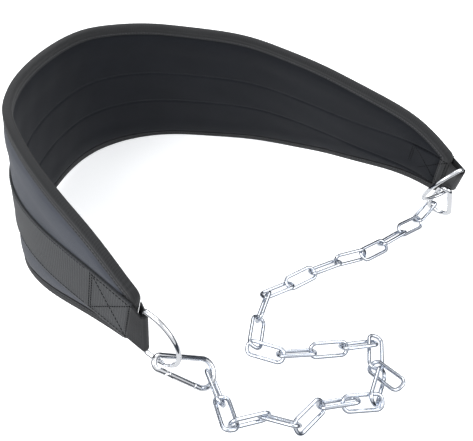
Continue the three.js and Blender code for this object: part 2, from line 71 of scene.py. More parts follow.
# heading, lean in degrees; rise as a share of BACK_WIDTH; upper and lower half width, 0 tip, 1 back
SECTIONS = [
    (143.5, -5.5, 0.445, 0.05, 0.07), (142.5, -7.5, 0.520, 0.59, 0.33),
    (126.5, -9.5, 0.550, 0.96, 0.65), (98.5, -11.0, 0.555, 1.00, 0.97),
    (82.5, -12.5, 0.540, 0.99, 1.04), (65.5, -14.0, 0.515, 0.99, 1.05),
    (23.5, -15.0, 0.495, 0.98, 1.06), (-6.0, -17.0, 0.490, 0.99, 1.08),
    (-12.5, -19.5, 0.490, 0.99, 1.08), (-30.5, -22.5, 0.480, 1.00, 0.98),
    (-34.0, -24.0, 0.460, 0.95, 0.65), (-28.5, -22.0, 0.430, 0.59, 0.33),
    (-56.5, -14.5, 0.390, 0.04, 0.07),
]
HEADING, LEAN, RISE, UPPER, LOWER = range(5)
BELT_MIDDLE = Vector((-139, 173)) * MM

# where each ring's bar lies from its tip, how ring and snap are turned (degrees), snap place in mm
ENDS = {
    "near": dict(reach=8.5, rise=-9.5, side=-1.6, ring=(-36.7, 3.8, 4.3),
                 snap_place=(-60.4, -164.7, 42.8), snap=(9.7, 40.6, 69)),
    "far": dict(reach=13.2, rise=11.7, side=-5.9, ring=(197.2, 22.7, 23),
                snap_place=(217.5, 26.3, 54), snap=(59.9, 63.4, -96.9)),
}

# the chain's route: middle of each link in mm, then heading, tilt and roll in degrees
CHAIN = [
    (-18, -168.4, 8.3, -68, 4, -66.5), (-8.5, -192, 12.2, -73, 16, -17),
    (10.3, -197.3, 11.4, 18.5, -11.5, 89), (33.7, -196.9, 9.9, -22, 15, -55.5),
    (58.5, -192.6, 7.7, 44, -6, 46.5), (83.5, -181, 6.6, 8.5, 1.5, -46),
    (103.4, -180.9, 6.7, 6, -4, 35.5), (118.4, -166.7, 7.8, 64.5, -4, 55),
    (126.8, -157.7, 8.6, 122.5, -21, -19), (123.7, -132.9, 4.3, 79, -2.5, 18.5),
    (108.8, -127.7, 7.6, -167.5, 8.5, 41.5), (81.7, -132.3, 7.7, -171.5, 5.5, -50),
    (52.9, -135.7, 6.9, -175, 2, 41.5), (25.6, -133.3, 5.7, 161.5, -0.5, -36.5),
    (18.5, -114.4, 7.8, 81, -5.5, 34.5), (25.6, -86.4, 7.9, 71.5, -1.5, -68.5),
    (40.2, -64.9, 4.8, 26.5, -1, -26.5), (64.8, -49.4, 4.6, 31, 0, 26.5),
    (90.9, -36.1, 5.6, 22, 3.5, -30), (117.9, -25.2, 7.9, 17.5, 0, 76.5),
    (144.8, -13.6, 6.4, 32.5, -3, 26.5), (168.2, 4.3, 6.3, 32.5, 2.5, -39),
    (191.7, 21.9, 6.6, 33, -4.5, 38.5), (212.5, 42.3, 9.2, 45.5, 11.5, -31),
]
link_low, link_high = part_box("chain_link_01")
LAYOUT = (link_low + link_high) / 2 - Vector(CHAIN[0][:3]) * MM
print("layout offset", [round(c / MM, 2) for c in LAYOUT])

# %% [markdown]
# The belt's surface is a function: give it a place along the belt, a height across it and a
# distance to its outer side, and it returns a point. Everything sewn on the belt uses it, so
# nothing has to be fitted by eye.

# %% Belt surface


def column(name, share):
    values = [row[name] for row in SECTIONS]
    last = len(values) - 1
    padded = [2 * values[0] - values[1]] + values + [2 * values[last] - values[last - 1]]
    at = min(max(share, 0), 1) * last
    i = min(int(at), last - 1)
    t = at - i
    a, b, c, d = padded[i:i + 4]
    square = 2 * a - 5 * b + 4 * c - d
    cube = 3 * b - a - 3 * c + d
    return 0.5 * (2 * b + (c - a) * t + square * t * t + cube * t ** 3)


def direction_at(s):
    share = min(max(s, TIP_ZONE), BELT_LENGTH - TIP_ZONE) / BELT_LENGTH
    heading = math.radians(column(HEADING, share))
    lean = math.radians(column(LEAN, share))
    small = 1 / LINE_STEPS
    climb = column(RISE, share + small) - column(RISE, share - small)
    slope = math.asin(climb * BACK_WIDTH / (2 * small * BELT_LENGTH))
    flat_way = Vector((math.cos(heading), math.sin(heading), 0))
    side = Vector((-math.sin(heading), math.cos(heading), 0))
    along = flat_way * math.cos(slope) + Vector((0, 0, math.sin(slope)))
    top = flat_way * -math.sin(slope) + Vector((0, 0, math.cos(slope)))
    up = side * math.sin(lean) + top * math.cos(lean)
    out = side * math.cos(lean) - top * math.sin(lean)
    return along, up, out


def middle_line():
    step = BELT_LENGTH / LINE_STEPS
    points = [Vector((0, 0, 0))]
    for i in range(LINE_STEPS):
        points.append(points[-1] + direction_at((i + 0.5) * step)[0] * step)
    middle = Vector((BELT_MIDDLE.x, BELT_MIDDLE.y, column(RISE, 0.5) * BACK_WIDTH))
    shift = middle - points[LINE_STEPS // 2] + LAYOUT
    return [point + shift for point in points]


MIDDLE_LINE = middle_line()


def belt_point(s, q, o):
    at = min(max(s, 0), BELT_LENGTH) / BELT_LENGTH * LINE_STEPS
    i = min(int(at), LINE_STEPS - 1)
    point = MIDDLE_LINE[i].lerp(MIDDLE_LINE[i + 1], at - i)
    _, up, out = direction_at(s)
    return point + up * q + out * o


def settled_point(s, q, o, level):
    point = belt_point(s, q, o)
    if point.z >= level:
        return point
    up = direction_at(s)[1]
    point = point + up * ((level - point.z) / up.z)
    point.z = level
    return point


def half_width(s, side):
    name = UPPER if side > 0 else LOWER

    def width(at):
        return TIP_WIDTH / 2 + column(name, at / BELT_LENGTH) * (BACK_WIDTH - TIP_WIDTH) / 2

    end = 0 if s < BELT_LENGTH / 2 else BELT_LENGTH
    from_tip = abs(s - end)
    if from_tip >= TIP_ZONE:
        return width(s)
    inner = width(abs(end - TIP_ZONE))
    return width(end) + (inner - width(end)) * from_tip / TIP_ZONE


def edge_stretch(s, side):
    small = 1 * MM
    return math.hypot(1, (half_width(s + small, side) - half_width(s - small, side)) / (2 * small))


def tip_corner(end, side):
    tip = 0 if end == "near" else BELT_LENGTH
    inner = TIP_ZONE if end == "near" else BELT_LENGTH - TIP_ZONE
    slope = (half_width(inner, side) - half_width(tip, side)) / TIP_ZONE
    angle = math.atan(slope)
    height = half_width(tip, side) + slope * TIP_CORNER_RADIUS - TIP_CORNER_RADIUS / math.cos(angle)
    return tip, (1 if end == "near" else -1), angle, height


def inset_width(end, side, from_tip, inset):
    tip, way, angle, height = tip_corner(end, side)
    radius = TIP_CORNER_RADIUS - inset
    if from_tip < TIP_CORNER_RADIUS - radius * math.sin(angle):
        return height + math.sqrt(max(radius ** 2 - (from_tip - TIP_CORNER_RADIUS) ** 2, 0))
    return half_width(tip + way * from_tip, side) - inset / math.cos(angle)


print("near tip", [round(c, 3) for c in belt_point(0, 0, 0)])

# %% [markdown]
# Most pieces here are lofts: rings of points joined by quads. One helper makes such a mesh with a
# UV map in metres along and across it, so that the weave of each cloth follows its strip instead of
# sliding over it.

# %% Loft helper


def link_object(name, data):
    """Puts a mesh, curve, light or camera into the scene as an object at the origin."""
    obj = bpy.data.objects.new(name, data)
    bpy.context.scene.collection.objects.link(obj)
    return obj


def new_mesh(name, verts, faces):
    mesh = bpy.data.meshes.new(name)
    mesh.from_pydata(verts, [], faces)
    return mesh


def loft_piece(name, rings, material, closed=False, zones=None, shade=True):
    count = len(rings[0])
    verts = [point for ring in rings for point in ring]
    faces = []
    coords = []
    along = [0.0]
    for a, b in zip(rings, rings[1:] + rings[:1]):
        along.append(along[-1] + (b[0] - a[0]).length)
    middle = rings[len(rings) // 2]
    across = [0.0]
    for j in range(count):
        across.append(across[-1] + (middle[(j + 1) % count] - middle[j]).length)
    spans = len(rings) if closed else len(rings) - 1
    slots = []
    for i in range(spans):
        a = i * count
        b = ((i + 1) % len(rings)) * count
        for j in range(count):
            k = (j + 1) % count
            faces.append((a + j, a + k, b + k, b + j))
            coords += [(along[i], across[j]), (along[i], across[j + 1]),
                       (along[i + 1], across[j + 1]), (along[i + 1], across[j])]
            slots.append(zones[j] if zones else 0)
    if not closed:
        for ring_index, flip in ((0, True), (len(rings) - 1, False)):
            centre = len(verts)
            ring = rings[ring_index]
            verts.append(sum(ring, Vector()) / count)
            for j in range(count):
                k = (j + 1) % count
                pair = (ring_index * count + j, ring_index * count + k)
                faces.append((centre, pair[1], pair[0]) if flip else (centre, pair[0], pair[1]))
                coords += [(along[ring_index], across[j])] * 3
                slots.append(zones[j] if zones else 0)
    mesh = new_mesh(name, verts, faces)
    layer = mesh.uv_layers.new(name="strip")
    for loop, uv in zip(layer.data, coords):
        loop.uv = uv
    for one in material if isinstance(material, list) else [material]:
        mesh.materials.append(one)
    mesh.polygons.foreach_set("material_index", slots)
    mesh.polygons.foreach_set("use_smooth", [shade] * len(faces))
    mesh.update()
    face_outwards(mesh)
    return link_object(name, mesh)


def face_outwards(mesh):
    volume = 0
    for face in mesh.polygons:
        points = [mesh.vertices[v].co for v in face.vertices]
        for i in range(1, len(points) - 1):
            volume += points[0].dot(points[i].cross(points[i + 1]))
    if volume < 0:
        mesh.flip_normals()


def finish_piece(piece, body, slot_name, *nodes):
    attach(piece, body)
    if nodes:
        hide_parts(*nodes)
    triangles = sum(len(face.vertices) - 2 for face in piece.data.polygons)
    print(piece.name, triangles, "triangles")
    return piece


print("loft helper ready")

# %% [markdown]
# Every material is built from the same few nodes: waves and noise give its pattern, and a bump turns
# the pattern into relief.

# %% Shader helpers
# a wave texture of scale 1 repeats after this many metres
WAVE_PERIOD = 0.314


def new_material(name):
    material = bpy.data.materials.new(name)
    material.use_nodes = True
    nodes = material.node_tree.nodes
    shader = nodes["Principled BSDF"]
    return material, nodes, material.node_tree.links, shader


def set_inputs(node, values):
    for name, value in values.items():
        node.inputs[name].default_value = value


def wave(nodes, links, coords, direction, scale):
    node = nodes.new("ShaderNodeTexWave")
    node.bands_direction = direction
    set_inputs(node, {"Scale": scale, "Distortion": 0.4, "Detail": 0})
    links.new(coords, node.inputs["Vector"])
    return node.outputs["Fac"]


def noise(nodes, links, coords, scale, detail=2):
    node = nodes.new("ShaderNodeTexNoise")
    set_inputs(node, {"Scale": scale, "Detail": detail})
    links.new(coords, node.inputs["Vector"])
    return node.outputs["Fac"]


def add_bump(nodes, links, shader, height, distance, strength=1):
    bump = nodes.new("ShaderNodeBump")
    set_inputs(bump, {"Strength": strength, "Distance": distance})
    links.new(height, bump.inputs["Height"])
    links.new(bump.outputs["Normal"], shader.inputs["Normal"])


def math_node(nodes, links, operation, a, b):
    node = nodes.new("ShaderNodeMath")
    node.operation = operation
    for socket, value in zip(node.inputs, (a, b)):
        if isinstance(value, (int, float)):
            socket.default_value = value
        else:
            links.new(value, socket)
    return node.outputs[0]


print("shader helpers ready")

# %% [markdown]
# Cloth looks like cloth because of its weave and the soft light at its edges. Each fabric below is a
# Principled shader with a little sheen. Two crossed waves on the strip's UV map give the threads,
# and noise gives the slightly uneven dye and wear.

# %% Fabric materials


def woven(name, dark, light, thread, ribs=None, roughness=0.85, sheen=0.35, relief=0.00012):
    """Cloth with threads of that width; ribs is the pitch of the ribs across a webbing or tape."""
    material, nodes, links, shader = new_material(name)
    coords = nodes.new("ShaderNodeUVMap").outputs["UV"]
    lengthways = wave(nodes, links, coords, "X", WAVE_PERIOD / (ribs or thread))
    crossways = wave(nodes, links, coords, "Y", WAVE_PERIOD / thread)
    weave = math_node(nodes, links, "MULTIPLY" if ribs is None else "ADD", lengthways, crossways)
    place = nodes.new("ShaderNodeTexCoord").outputs["Object"]
    dye = noise(nodes, links, place, 22, 5)
    fuzz = noise(nodes, links, place, 900)
    blend = math_node(nodes, links, "MULTIPLY", weave, 0.35)
    for cloud, share in ((dye, 0.45), (fuzz, 0.2)):
        part = math_node(nodes, links, "MULTIPLY", cloud, share)
        blend = math_node(nodes, links, "ADD", blend, part)
    ramp = nodes.new("ShaderNodeValToRGB")
    ramp.color_ramp.elements[0].position = 0.2
    ramp.color_ramp.elements[0].color = (*dark, 1)
    ramp.color_ramp.elements[1].position = 0.8
    ramp.color_ramp.elements[1].color = (*light, 1)
    links.new(blend, ramp.inputs["Fac"])
    links.new(ramp.outputs["Color"], shader.inputs["Base Color"])
    nap = math_node(nodes, links, "MULTIPLY", fuzz, 0.5)
    height = math_node(nodes, links, "ADD", weave, nap)
    add_bump(nodes, links, shader, height, relief, 0.6)
    set_inputs(shader, {"Roughness": roughness, "Sheen Weight": sheen, "Sheen Roughness": 0.5,
                        "Specular IOR Level": 0.3})
    return material


outer_fabric = woven("outer_fabric", (0.034, 0.038, 0.048), (0.060, 0.066, 0.082), 0.0012, sheen=0.08)
inner_fabric = woven("inner_fabric", (0.0026, 0.0036, 0.0062), (0.0064, 0.0082, 0.0130), 0.0009, sheen=0.03)
binding_tape = woven("binding_tape", (0.0074, 0.0078, 0.0086), (0.022, 0.0226, 0.024), 0.0011, ribs=0.0022,
                     sheen=0.08)
webbing_cloth = woven("webbing", (0.010, 0.0112, 0.013), (0.026, 0.028, 0.031), 0.0016, ribs=0.0024,
                      sheen=0.12, relief=0.0003)
loop_cloth = woven("loop_webbing", (0.0040, 0.0044, 0.0054), (0.011, 0.0115, 0.013), 0.0014, ribs=0.0024,
                   roughness=0.55, sheen=0.06)
print("fabrics", len(bpy.data.materials))

# %% [markdown]
# Thread is matt and a little uneven. Each metal has its own colour, its own range of roughness and
# fine marks. The chrome is nearly a mirror, and the gates are a little duller.

# %% Thread and metal materials


def thread_material(name, colour):
    material, nodes, links, shader = new_material(name)
    coords = nodes.new("ShaderNodeTexCoord").outputs["Object"]
    add_bump(nodes, links, shader, noise(nodes, links, coords, 1400), 0.0001)
    set_inputs(shader, {"Base Color": (*colour, 1), "Roughness": 0.75, "Specular IOR Level": 0.2})
    return material


def metal(name, colour, low, high, scratch):
    """Plated steel: its roughness wanders a little, and fine marks catch the light."""
    material, nodes, links, shader = new_material(name)
    coords = nodes.new("ShaderNodeTexCoord").outputs["Object"]
    spread = nodes.new("ShaderNodeMapRange")
    set_inputs(spread, {"To Min": low, "To Max": high})
    links.new(noise(nodes, links, coords, 160, 4), spread.inputs["Value"])
    links.new(spread.outputs["Result"], shader.inputs["Roughness"])
    add_bump(nodes, links, shader, noise(nodes, links, coords, 700), 0.0001, scratch)
    set_inputs(shader, {"Base Color": (*colour, 1), "Metallic": 1})
    return material


dark_thread = thread_material("dark_thread", (0.0015, 0.0016, 0.002))
grey_thread = thread_material("grey_thread", (0.020, 0.022, 0.027))
tape_thread = thread_material("tape_thread", (0.070, 0.072, 0.078))
chrome = metal("chrome", (0.86, 0.875, 0.90), 0.04, 0.11, 0.06)
gate_steel = metal("gate_steel", (0.80, 0.81, 0.83), 0.10, 0.2, 0.1)
chain_steel = metal("chain_steel", (0.62, 0.66, 0.73), 0.12, 0.24, 0.2)
print("materials", len(bpy.data.materials))

# %% [markdown]
# The panel is foam between two cloths: thick in its middle, pinched thin under the binding. The real
# one is cut flat, edge-bound and sewn through, so its faces swell gently between the seams. It
# is lofted here with a profile that has those swells, and not simulated, because the seams set the
# whole shape.

# %% Padded panel
INNER_SEAM = 23 * MM
PANEL_INSET = 1.2 * MM
PANEL_LEVEL = 2.0 * MM
PANEL_THIN = BOUND_THICKNESS / 2 - BINDING_THICKNESS - CLEARANCE
LONG_STEPS = 170


def panel_height(s, q, edge, outside):
    """Height of one face of the panel: seam grooves, soft swells and small creases."""
    if edge <= BINDING_WIDTH:
        return PANEL_THIN * min(0.45 + max(edge, 0) / (2.5 * MM), 1)
    full = PANEL_THICKNESS / 2
    rise = min((edge - BINDING_WIDTH) / (2.2 * MM), 1)
    rise = rise * rise * (3 - 2 * rise)
    height = PANEL_THIN + (full - PANEL_THIN) * rise
    swell = 0.9 * MM * math.sin(min((edge - BINDING_WIDTH) / (26 * MM), 1) * math.pi)
    if outside:
        beside = (abs(q) - WEBBING_WIDTH / 2 - 0.5 * MM) / (5 * MM)
        if beside < 0:
            return min(height, full)
        swell *= min(beside, 1)
        creased = min(beside, 1)
    else:
        groove = math.exp(-((abs(q) - INNER_SEAM) / (1.7 * MM)) ** 2)
        height -= 0.8 * MM * groove * rise
        swell *= 1 - groove
        creased = 1 - groove
    creases = math.sin(s * 95 + q * 60) * math.sin(s * 41 - q * 130 + 1.3)
    return height + rise * (swell + 0.25 * MM * creases * creased)


def panel_heights_across(upper, lower):
    """Places across the panel, dense at both edges and at the seams."""
    def half(width):
        outer = min(27 * MM, 0.8 * width)
        inner = min(19 * MM, 0.6 * width)
        edge = [width - (width - outer) * (k / 16) ** 1.7 for k in range(16)]
        seam = [outer + (inner - outer) * k / 9 for k in range(9)]
        return edge + seam, inner
    top, inner_top = half(upper)
    bottom, inner_bottom = half(lower)
    middle = [inner_top + (-inner_bottom - inner_top) * k / 9 for k in range(10)]
    return top + middle + [-q for q in reversed(bottom)]


def panel_ring(s, from_tip, upper, lower):
    places = panel_heights_across(upper, lower)
    ring = []
    for outside in (True, False):
        for q in places if outside else reversed(places):
            edge = min(upper - q, q + lower, from_tip - PANEL_INSET)
            height = panel_height(s, q, edge, outside)
            ring.append(settled_point(s, q, height if outside else -height, PANEL_LEVEL))
    return ring


def panel_rings():
    rings = []
    tip_rows = [PANEL_INSET + d * MM for d in (0, 0.5, 1.2, 2.2, 3.5, 5, 7, 9, 10.6, 12.5)]
    for from_tip in tip_rows:
        widths = [inset_width("near", side, from_tip, PANEL_INSET) for side in (1, -1)]
        rings.append(panel_ring(from_tip, from_tip, *widths))
    for i in range(LONG_STEPS + 1):
        s = TIP_ZONE + (BELT_LENGTH - 2 * TIP_ZONE) * i / LONG_STEPS
        widths = [half_width(s, side) - PANEL_INSET * edge_stretch(s, side) for side in (1, -1)]
        rings.append(panel_ring(s, min(s, BELT_LENGTH - s), *widths))
    for from_tip in reversed(tip_rows):
        widths = [inset_width("far", side, from_tip, PANEL_INSET) for side in (1, -1)]
        rings.append(panel_ring(BELT_LENGTH - from_tip, from_tip, *widths))
    return rings


rings = panel_rings()
zones = [0] * (len(rings[0]) // 2) + [1] * (len(rings[0]) // 2)
panel = loft_piece("padded_panel", rings, [outer_fabric, inner_fabric], zones=zones)
finish_piece(panel, "belt", "panel_fabric", "belt_panel")

# %% [markdown]
# A folded tape binds the whole edge. Its cut edges are turned under and one seam runs through both
# faces, which pulls a groove beside a soft ridge. A U-shaped section travels along both long edges
# and round the four rounded tips.

# %% Edge binding
BINDING_SEAM = 8.4 * MM
BINDING_FACE = [(10.5, 3.3), (10.1, 3.7), (9.4, 3.8), (8.9, 3.6), (8.6, 3.25), (8.2, 3.25), (7.9, 3.6),
                (7.0, 3.85), (5.8, 3.8), (4.9, 3.45), (4.0, 3.75), (2.8, 3.75), (1.8, 3.35), (1.1, 2.75),
                (0.55, 2.1), (0.15, 1.0)]
BINDING_SKIN = BINDING_FACE + [(d, -o) for d, o in reversed(BINDING_FACE)]
BINDING_LINING = [(10.4, -2.9), (5, -2.9), (0.8, -2.9), (0.8, 2.9), (5, 2.9), (10.4, 2.9)]
CORNER_STEPS = 9


def binding_ring(place):
    ring = [place(d * MM, o * MM, 0) for d, o in BINDING_SKIN]
    return ring + [place(d * MM, o * MM, BINDING_THICKNESS) for d, o in BINDING_LINING]


def edge_walk(at_long, at_corner):
    """Visits both long edges and the four tip corners in order."""
    stations = [TIP_ZONE + (BELT_LENGTH - 2 * TIP_ZONE) * i / LONG_STEPS for i in range(LONG_STEPS + 1)]

    def corner(end, side):
        angle = tip_corner(end, side)[2]
        turns = [angle + (math.pi / 2 - angle) * i / CORNER_STEPS for i in range(CORNER_STEPS + 1)]
        return [at_corner(end, side, turn) for turn in turns]

    return ([at_long(s, -1) for s in stations] + corner("far", -1) + corner("far", 1)[::-1]
            + [at_long(s, 1) for s in reversed(stations)] + corner("near", 1) + corner("near", -1)[::-1])


def long_edge_place(s, side):
    stretch = edge_stretch(s, side)
    width = half_width(s, side)
    return lambda depth, o, level: settled_point(s, side * (width - depth * stretch), o, level)


def corner_place(end, side, turn):
    tip, way, _, height = tip_corner(end, side)

    def place(depth, o, level):
        reach = TIP_CORNER_RADIUS - depth
        s = tip + way * (TIP_CORNER_RADIUS - reach * math.sin(turn))
        return belt_point(s, side * (height + reach * math.cos(turn)), o)

    return place


binding = loft_piece(
    "edge_tape",
    edge_walk(lambda s, side: binding_ring(long_edge_place(s, side)),
              lambda end, side, turn: binding_ring(corner_place(end, side, turn))),
    binding_tape, closed=True)
finish_piece(binding, "belt", "binding_tape", "edge_binding")

# %% [markdown]
# The webbing is a flat woven band with a slightly thicker selvedge along each side. The loops are
# the same band, led from the tip round the ring's bar and back. A flat band keeps its width and only
# bends and twists, so each is a loft of one small section.

# %% Outer webbing and ring loops
BAND_HALF = 25 * MM
BAND_SECTION = [(-25, 0.25), (-24.7, 1.45), (-23.6, 1.62), (-22, 1.5), (-12, 1.5), (0, 1.5), (12, 1.5),
                (22, 1.5), (23.6, 1.62), (24.7, 1.45), (25, 0.25), (24.6, 0), (12, 0), (-12, 0), (-24.6, 0)]
BAND_BASE = PANEL_THICKNESS / 2 + CLEARANCE
LOOP_LAP = 1.5 * MM
RING_WIRE = 4 * MM
RING_INNER_WIDTH = 52 * MM
LOOP_HALF = 23 * MM


def frame_from_turn(heading, dip, roll):
    h, d, r = (math.radians(a) for a in (heading, dip, roll))
    along = Vector((math.cos(h) * math.cos(d), math.sin(h) * math.cos(d), -math.sin(d)))
    left = Vector((-math.sin(h), math.cos(h), 0))
    across = along.cross(left) * math.cos(r) + left * math.sin(r)
    return along, across, along.cross(across)


def tip_frame(end):
    s = 0 if end == "near" else BELT_LENGTH
    along, up, out = direction_at(s)
    return belt_point(s, 0, 0), along * (-1 if end == "near" else 1), up, out


def ring_place(end):
    point, away, up, out = tip_frame(end)
    place = ENDS[end]
    return point + (away * place["reach"] + up * place["rise"] + out * place["side"]) * MM


band_rings = []
start = LOOP_LAP + CLEARANCE
for i in range(LONG_STEPS + 1):
    s = start + (BELT_LENGTH - 2 * start) * i / LONG_STEPS
    band_rings.append([belt_point(s, q * MM, BAND_BASE + o * MM) for q, o in BAND_SECTION])
band = loft_piece("webbing_band", band_rings, webbing_cloth)
finish_piece(band, "belt", "webbing", "outer_webbing")


def smooth_line(points, steps):
    line = []
    for i in range(len(points) - 1):
        a, b, c, d = (points[min(max(i + k, 0), len(points) - 1)] for k in (-1, 0, 1, 2))
        for k in range(steps):
            t = k / steps
            line.append(0.5 * (2 * b + (c - a) * t + (2 * a - 5 * b + 4 * c - d) * t * t
                               + (3 * b - a - 3 * c + d) * t ** 3))
    return line + [points[-1]]


def ring_loop(end):
    point, away, up, out = tip_frame(end)
    bar = ring_place(end)
    bar_way = frame_from_turn(*ENDS[end]["ring"])[1]
    back = point - bar
    back = (back - bar_way * back.dot(bar_way)).normalized()
    front = bar_way.cross(back)
    front *= math.copysign(1, front.dot(out))
    radius = RING_WIRE / 2 + CLEARANCE + WEBBING_THICKNESS / 2
    wrap = []
    for i in range(7):
        angle = math.pi * i / 6
        wrap.append(bar + front * radius * math.cos(angle) - back * radius * math.sin(angle))
    lap = point + out * (BAND_BASE + WEBBING_THICKNESS / 2)
    finish = point + away * CLEARANCE - out * (BOUND_THICKNESS / 2 - WEBBING_THICKNESS)
    places = [lap - away * LOOP_LAP, lap] + wrap + [finish]
    turned = [0, 0.1] + [1] * len(wrap) + [0]
    line = smooth_line(places, 6)
    turns = smooth_line([Vector((t, 0, 0)) for t in turned], 6)
    narrow = LOOP_HALF / BAND_HALF
    rings = []
    for i, place in enumerate(line):
        across = up.lerp(bar_way, min(max(turns[i].x, 0), 1)).normalized()
        along = line[min(i + 1, len(line) - 1)] - line[max(i - 1, 0)]
        thick = along.cross(across).normalized() * WEBBING_THICKNESS
        rings.append([place + across * (q * MM * narrow) + thick * (o / 1.5 - 0.5)
                      for q, o in BAND_SECTION])
    piece = loft_piece(end + "_ring_loop", rings, loop_cloth)
    return finish_piece(piece, "belt", "loop_webbing", end + "_loop")


for end in ENDS:
    ring_loop(end)

# %% [markdown]
# The D-rings and snaps are bent from round bar, so each is one wire swept along a flat path of lines
# and arcs. The snap's gate is a short turned bar with a slot at each end. It is cut with Boolean
# modifiers, which is how a mill would do it too, and it rides on its own body so that it can open.

# %% Wire helper
WIRE_SIDES = 24


def arc(x, y, radius, start_angle, end_angle, steps=28):
    turns = [start_angle + (end_angle - start_angle) * i / steps for i in range(steps + 1)]
    return [Vector((x + radius * math.cos(a), y + radius * math.sin(a), 0)) for a in turns]


def wire_rings(path, closed, diameter, place, origin, round_ends=False):
    """Rings of a round wire along a flat path, put in the frame (along, across, normal)."""
    last = len(path) - 1
    along_x, across_y, normal_z = place
    rings = []

    def ring_at(point, side, size):
        ring = []
        for j in range(WIRE_SIDES):
            angle = 2 * math.pi * (j + 0.5) / WIRE_SIDES
            local = point + side * (math.cos(angle) * diameter / 2 * size)
            local.z += math.sin(angle) * diameter / 2 * size
            ring.append(origin + along_x * local.x + across_y * local.y + normal_z * local.z)
        return ring

    for i, point in enumerate(path):
        before = path[(i - 1) % len(path)] if closed else path[max(i - 1, 0)]
        after = path[(i + 1) % len(path)] if closed else path[min(i + 1, last)]
        tangent = (after - before).normalized()
        side = Vector((-tangent.y, tangent.x, 0))
        if round_ends and i in (0, last):
            out_way = tangent * (-1 if i == 0 else 1)
            caps = [(0.0, 1.0), (0.12, 0.97), (0.22, 0.86), (0.28, 0.7)]
            ends = [ring_at(point - out_way * (0.28 - d) * diameter / 2, side, size) for d, size in caps]
            rings += ends[::-1] if i == 0 else ends
        else:
            rings.append(ring_at(point, side, 1))
    return rings


def join_pieces(name, pieces):
    """Joins a few closed meshes into one object with their materials kept."""
    verts, faces, slots, materials, shades = [], [], [], [], []
    for piece in pieces:
        base = len(verts)
        verts += [piece.matrix_world @ v.co for v in piece.data.vertices]
        for material in piece.data.materials:
            if material not in materials:
                materials.append(material)
        for face in piece.data.polygons:
            faces.append([base + v for v in face.vertices])
            slots.append(materials.index(piece.data.materials[face.material_index]))
            shades.append(face.use_smooth)
        bpy.data.objects.remove(piece)
    mesh = new_mesh(name, verts, faces)
    for material in materials:
        mesh.materials.append(material)
    mesh.polygons.foreach_set("material_index", slots)
    mesh.polygons.foreach_set("use_smooth", shades)
    mesh.update()
    return link_object(name, mesh)


print("wire helper ready")

# %% [markdown]
# A D-ring is a straight bar for the webbing and a half circle, swept as one closed wire. The table of
# the two ends gives each ring its turn.

# %% D-rings
RING_DEPTH = 36 * MM
RING_CORNER = 4 * MM


def d_ring(end):
    half = (RING_INNER_WIDTH + RING_WIRE) / 2
    right = math.pi / 2
    path = arc(RING_CORNER, -half + RING_CORNER, RING_CORNER, -2 * right, -right, 8)
    path += arc(RING_DEPTH - half, 0, half, -right, right, 40)
    path += arc(RING_CORNER, half - RING_CORNER, RING_CORNER, right, 2 * right, 8)
    place = frame_from_turn(*ENDS[end]["ring"])
    rings = wire_rings(path, True, RING_WIRE, place, ring_place(end))
    piece = loft_piece(end + "_bright_ring", rings, chrome, closed=True)
    return finish_piece(piece, "belt", "chrome", end + "_d_ring")


for end in ENDS:
    d_ring(end)

# %% [markdown]
# A snap is an open pear with a small eye at one end and a wide bow at the other. Its small parts are
# blocks and turned bars, made round the gate's pivot and then settled into their place.

# %% Snap sizes and helpers
SNAP_WIRE = 5 * MM
EYE_RADIUS = 5.5 * MM
BOW_RADIUS = 12 * MM
SNAP_CENTRES = 42.5 * MM
PIVOT_ALONG = 11 * MM
NOSE_ALONG = 36.5 * MM
GATE_RADIUS = 2.3 * MM
GATE_GAP = 0.5 * MM
EAR_REACH = GATE_RADIUS + 0.1 * MM
EAR_CORNER = math.hypot(EAR_REACH, GATE_RADIUS)
PIN_RADIUS = 0.9 * MM
TONGUE_THICKNESS = 2 * MM
NOSE_REACH = 2.6 * MM
NOSE_THICKNESS = 1.6 * MM
ARM_ANGLE = math.asin((BOW_RADIUS - EYE_RADIUS) / SNAP_CENTRES)
ARM_START = Vector((-EYE_RADIUS * math.sin(ARM_ANGLE), -EYE_RADIUS * math.cos(ARM_ANGLE), 0))
ARM_WAY = Vector((math.cos(ARM_ANGLE), -math.sin(ARM_ANGLE), 0))


def snap_matrix(end, on_arm=False):
    """The snap's own frame, or that of the gate's pivot with X along the arm."""
    along, across, normal = frame_from_turn(*ENDS[end]["snap"])
    rows = Matrix((along, across, normal)).transposed().to_4x4()
    rows.translation = Vector(ENDS[end]["snap_place"]) * MM + LAYOUT
    if on_arm:
        pivot = ARM_START + ARM_WAY * PIVOT_ALONG
        rows = rows @ Matrix.Translation(pivot) @ Matrix.Rotation(-ARM_ANGLE, 4, "Z")
    return rows


def solid_block(name, low_x, high_x, low_y, high_y, thickness, bevel=0):
    corners = [(x, y, z) for x in (low_x, high_x) for y in (low_y, high_y)
               for z in (-thickness / 2, thickness / 2)]
    mesh = new_mesh(name, corners, [(0, 1, 3, 2), (4, 6, 7, 5), (0, 4, 5, 1), (2, 3, 7, 6),
                                    (0, 2, 6, 4), (1, 5, 7, 3)])
    block = link_object(name, mesh)
    if bevel:
        edge = block.modifiers.new("edge", "BEVEL")
        edge.width = bevel
        edge.segments = 2
    return block


def turned_bar(name, profile, axis, sides=28):
    """A closed body turned about X or Z from (place along, radius) pairs."""
    verts, faces = [], []
    for along, radius in profile:
        for j in range(sides):
            angle = 2 * math.pi * j / sides
            a, b = radius * math.cos(angle), radius * math.sin(angle)
            verts.append((along, a, b) if axis == "X" else (a, b, along))
    for i in range(len(profile) - 1):
        for j in range(sides):
            k = (j + 1) % sides
            faces.append((i * sides + j, i * sides + k, (i + 1) * sides + k, (i + 1) * sides + j))
    faces.append(tuple(range(sides))[::-1])
    faces.append(tuple((len(profile) - 1) * sides + j for j in range(sides)))
    mesh = new_mesh(name, verts, faces)
    face_outwards(mesh)
    return link_object(name, mesh)


